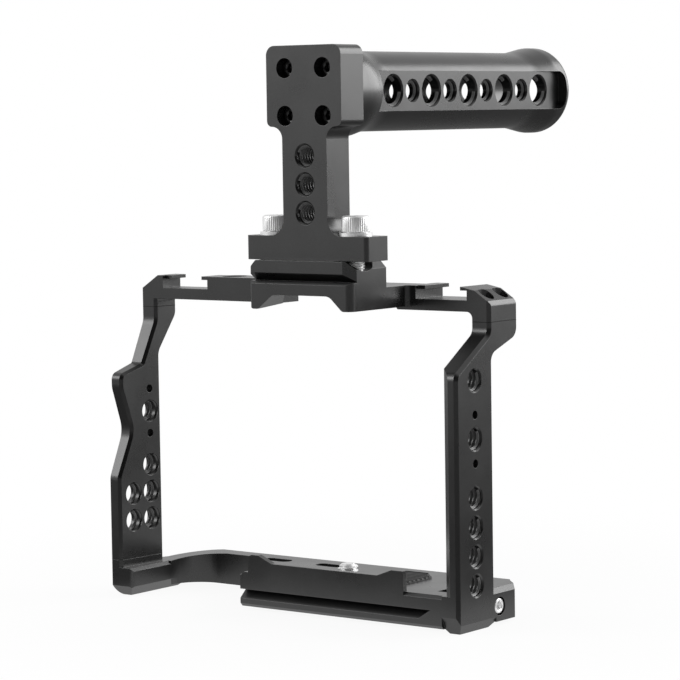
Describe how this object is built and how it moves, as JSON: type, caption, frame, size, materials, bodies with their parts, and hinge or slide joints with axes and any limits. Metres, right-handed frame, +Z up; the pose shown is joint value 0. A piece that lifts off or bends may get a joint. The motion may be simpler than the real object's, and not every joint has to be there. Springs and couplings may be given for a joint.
{
  "type": "camera cage",
  "caption": "Camera cage: an open frame that bolts round a mirrorless camera, with tapped legs, two accessory shoes, a dovetail floor and a tube handle on a post.",
  "frame": {"origin": "middle of the whole outline's width and depth, on the plane of the feet", "axes": "+X to the right as seen from the lens side, +Y to the back along the handle, +Z up"},
  "size_m": [0.1352, 0.129, 0.1735],
  "materials": {
    "anodised": "black anodised, bead blasted",
    "black_steel": "black oxide",
    "bright_steel": "bright stainless",
    "rubber": "matt"
  },
  "bodies": {
    "cage": {"base_frame": "anodised", "flange_washer_left": "bright_steel", "flange_washer_right": "bright_steel", "handle_post": "anodised", "handle_tube": "anodised", "left_base_dowel": "bright_steel", "left_base_screw_front": "black_steel", "left_base_screw_rear": "black_steel", "left_leg": "anodised", "left_top_dowel": "bright_steel", "left_top_screw": "black_steel", "lug_screw": "bright_steel", "post_screw_1": "black_steel", "post_screw_2": "black_steel", "post_screw_3": "black_steel", "post_screw_4": "black_steel", "right_dowel": "bright_steel", "right_leg_screw_front": "black_steel", "right_leg_screw_rear": "black_steel", "rubber_pad": "rubber", "top_plate": "anodised"},
    "camera_screw": {"camera_screw": "bright_steel", "camera_screw_clip": "bright_steel"},
    "flange_screw_left": {"flange_screw_left": "bright_steel"},
    "flange_screw_right": {"flange_screw_right": "bright_steel"}
  },
  "joints": [
    {"name": "camera_screw_turn", "type": "hinge", "parent": "cage", "child": "camera_screw", "pos_m": [0.01886, -0.04315, 0.0113], "axis": [0, 0, 1], "continuous": true},
    {"name": "flange_screw_left_turn", "type": "hinge", "parent": "cage", "child": "flange_screw_left", "pos_m": [0.00396, -0.0566, 0.1095], "axis": [0, 0, 1], "continuous": true},
    {"name": "flange_screw_right_turn", "type": "hinge", "parent": "cage", "child": "flange_screw_right", "pos_m": [0.03377, -0.0566, 0.1095], "axis": [0, 0, 1], "continuous": true}
  ]
}
